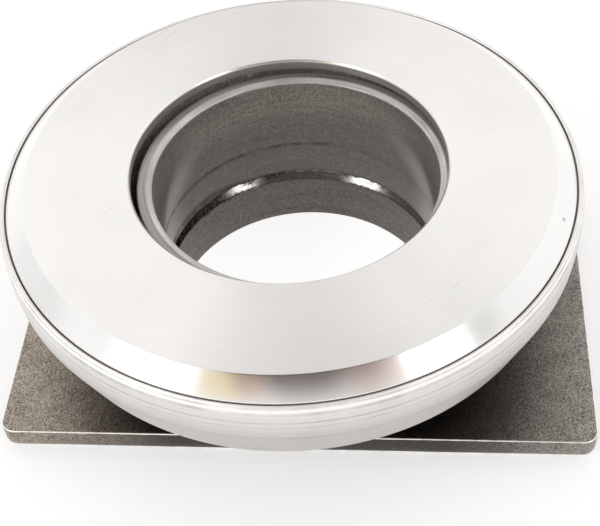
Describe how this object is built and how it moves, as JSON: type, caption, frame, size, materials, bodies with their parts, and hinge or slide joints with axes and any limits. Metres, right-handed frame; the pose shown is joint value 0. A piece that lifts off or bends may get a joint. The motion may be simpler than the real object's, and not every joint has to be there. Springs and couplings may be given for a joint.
{
  "type": "thrust ball bearing",
  "caption": "Self-centring thrust ball bearing on a guide sleeve with a flat guide plate; the flat ring on top turns on balls and takes the axial load.",
  "frame": {"origin": "on the sleeve's axis, at the underside of the guide plate", "axes": "+Z along the sleeve's axis towards the thrust face, +X along the plate's long side, +Y along its short side"},
  "size_m": [0.1046, 0.101, 0.038],
  "materials": {
    "plate_steel": "phosphated, dull, speckled",
    "hub_steel": "turned and phosphated",
    "sleeve_steel": "honed, dark, with a bright rim",
    "shell_steel": "fine turned, satin",
    "cup_steel": "pressed sheet, satin",
    "race_steel": "hardened and ground",
    "ball_steel": "polished",
    "thrust_steel": "fine turned face, polished chamfer",
    "spring_steel": "blued spring steel",
    "cage_polyamide": "moulded polyamide"
  },
  "bodies": {
    "carrier": {"guide_plate": "plate_steel", "hub": "hub_steel", "sleeve": "sleeve_steel"},
    "wave_spring": {"wave_spring": "spring_steel"},
    "bearing_unit": {"housing_shell": "shell_steel", "housing_neck": "shell_steel", "retainer_cup": "cup_steel", "lower_race": "race_steel", "snap_ring": "spring_steel"},
    "thrust_ring": {"thrust_ring": "thrust_steel"},
    "ball_cage": {"ball_cage": "cage_polyamide"},
    "ball_01": {"ball_01": "ball_steel"},
    "ball_02": {"ball_02": "ball_steel"},
    "ball_03": {"ball_03": "ball_steel"},
    "ball_04": {"ball_04": "ball_steel"},
    "ball_05": {"ball_05": "ball_steel"},
    "ball_06": {"ball_06": "ball_steel"},
    "ball_07": {"ball_07": "ball_steel"},
    "ball_08": {"ball_08": "ball_steel"},
    "ball_09": {"ball_09": "ball_steel"},
    "ball_10": {"ball_10": "ball_steel"},
    "ball_11": {"ball_11": "ball_steel"},
    "ball_12": {"ball_12": "ball_steel"},
    "ball_13": {"ball_13": "ball_steel"},
    "ball_14": {"ball_14": "ball_steel"},
    "ball_15": {"ball_15": "ball_steel"},
    "ball_16": {"ball_16": "ball_steel"},
    "ball_17": {"ball_17": "ball_steel"},
    "ball_18": {"ball_18": "ball_steel"}
  },
  "joints": [
    {"name": "float_x", "type": "slide", "parent": "carrier", "child": "wave_spring", "axis": [1, 0, 0], "range_m": [-0.0004, 0.0026]},
    {"name": "float_y", "type": "slide", "parent": "wave_spring", "child": "bearing_unit", "axis": [0, 1, 0], "range_m": [-0.0015, 0.0015]},
    {"name": "thrust_spin", "type": "hinge", "parent": "bearing_unit", "child": "thrust_ring", "pos_m": [-0.0011, 0, 0.03805], "axis": [0, 0, 1], "continuous": true},
    {"name": "cage_spin", "type": "hinge", "parent": "bearing_unit", "child": "ball_cage", "pos_m": [-0.0011, 0, 0.02916], "axis": [0, 0, 1], "continuous": true},
    {"name": "ball_01_roll", "type": "hinge", "parent": "ball_cage", "child": "ball_01", "pos_m": [0.03858, 0, 0.02916], "axis": [1, 0, 0], "continuous": true},
    {"name": "ball_02_roll", "type": "hinge", "parent": "ball_cage", "child": "ball_02", "pos_m": [0.03619, 0.01357, 0.02916], "axis": [0.9397, 0.342, 0], "continuous": true},
    {"name": "ball_03_roll", "type": "hinge", "parent": "ball_cage", "child": "ball_03", "pos_m": [0.0293, 0.02551, 0.02916], "axis": [0.766, 0.6428, 0], "continuous": true},
    {"name": "ball_04_roll", "type": "hinge", "parent": "ball_cage", "child": "ball_04", "pos_m": [0.01874, 0.03437, 0.02916], "axis": [0.5, 0.866, 0], "continuous": true},
    {"name": "ball_05_roll", "type": "hinge", "parent": "ball_cage", "child": "ball_05", "pos_m": [0.00579, 0.03908, 0.02916], "axis": [0.1736, 0.9848, 0], "continuous": true},
    {"name": "ball_06_roll", "type": "hinge", "parent": "ball_cage", "child": "ball_06", "pos_m": [-0.00799, 0.03908, 0.02916], "axis": [-0.1736, 0.9848, 0], "continuous": true},
    {"name": "ball_07_roll", "type": "hinge", "parent": "ball_cage", "child": "ball_07", "pos_m": [-0.02094, 0.03437, 0.02916], "axis": [-0.5, 0.866, 0], "continuous": true},
    {"name": "ball_08_roll", "type": "hinge", "parent": "ball_cage", "child": "ball_08", "pos_m": [-0.0315, 0.02551, 0.02916], "axis": [-0.766, 0.6428, 0], "continuous": true},
    {"name": "ball_09_roll", "type": "hinge", "parent": "ball_cage", "child": "ball_09", "pos_m": [-0.03839, 0.01357, 0.02916], "axis": [-0.9397, 0.342, 0], "continuous": true},
    {"name": "ball_10_roll", "type": "hinge", "parent": "ball_cage", "child": "ball_10", "pos_m": [-0.04078, 0, 0.02916], "axis": [-1, 0, 0], "continuous": true},
    {"name": "ball_11_roll", "type": "hinge", "parent": "ball_cage", "child": "ball_11", "pos_m": [-0.03839, -0.01357, 0.02916], "axis": [-0.9397, -0.342, 0], "continuous": true},
    {"name": "ball_12_roll", "type": "hinge", "parent": "ball_cage", "child": "ball_12", "pos_m": [-0.0315, -0.02551, 0.02916], "axis": [-0.766, -0.6428, 0], "continuous": true},
    {"name": "ball_13_roll", "type": "hinge", "parent": "ball_cage", "child": "ball_13", "pos_m": [-0.02094, -0.03437, 0.02916], "axis": [-0.5, -0.866, 0], "continuous": true},
    {"name": "ball_14_roll", "type": "hinge", "parent": "ball_cage", "child": "ball_14", "pos_m": [-0.00799, -0.03908, 0.02916], "axis": [-0.1736, -0.9848, 0], "continuous": true},
    {"name": "ball_15_roll", "type": "hinge", "parent": "ball_cage", "child": "ball_15", "pos_m": [0.00579, -0.03908, 0.02916], "axis": [0.1736, -0.9848, 0], "continuous": true},
    {"name": "ball_16_roll", "type": "hinge", "parent": "ball_cage", "child": "ball_16", "pos_m": [0.01874, -0.03437, 0.02916], "axis": [0.5, -0.866, 0], "continuous": true},
    {"name": "ball_17_roll", "type": "hinge", "parent": "ball_cage", "child": "ball_17", "pos_m": [0.0293, -0.02551, 0.02916], "axis": [0.766, -0.6428, 0], "continuous": true},
    {"name": "ball_18_roll", "type": "hinge", "parent": "ball_cage", "child": "ball_18", "pos_m": [0.03619, -0.01357, 0.02916], "axis": [0.9397, -0.342, 0], "continuous": true}
  ],
  "couplings": [
    {"joint": "cage_spin", "follows": "thrust_spin", "ratio": 0.5},
    {"joint": "ball_01_roll", "follows": "thrust_spin", "ratio": -4.1663},
    {"joint": "ball_02_roll", "follows": "thrust_spin", "ratio": -4.1663},
    {"joint": "ball_03_roll", "follows": "thrust_spin", "ratio": -4.1663},
    {"joint": "ball_04_roll", "follows": "thrust_spin", "ratio": -4.1663},
    {"joint": "ball_05_roll", "follows": "thrust_spin", "ratio": -4.1663},
    {"joint": "ball_06_roll", "follows": "thrust_spin", "ratio": -4.1663},
    {"joint": "ball_07_roll", "follows": "thrust_spin", "ratio": -4.1663},
    {"joint": "ball_08_roll", "follows": "thrust_spin", "ratio": -4.1663},
    {"joint": "ball_09_roll", "follows": "thrust_spin", "ratio": -4.1663},
    {"joint": "ball_10_roll", "follows": "thrust_spin", "ratio": -4.1663},
    {"joint": "ball_11_roll", "follows": "thrust_spin", "ratio": -4.1663},
    {"joint": "ball_12_roll", "follows": "thrust_spin", "ratio": -4.1663},
    {"joint": "ball_13_roll", "follows": "thrust_spin", "ratio": -4.1663},
    {"joint": "ball_14_roll", "follows": "thrust_spin", "ratio": -4.1663},
    {"joint": "ball_15_roll", "follows": "thrust_spin", "ratio": -4.1663},
    {"joint": "ball_16_roll", "follows": "thrust_spin", "ratio": -4.1663},
    {"joint": "ball_17_roll", "follows": "thrust_spin", "ratio": -4.1663},
    {"joint": "ball_18_roll", "follows": "thrust_spin", "ratio": -4.1663}
  ]
}
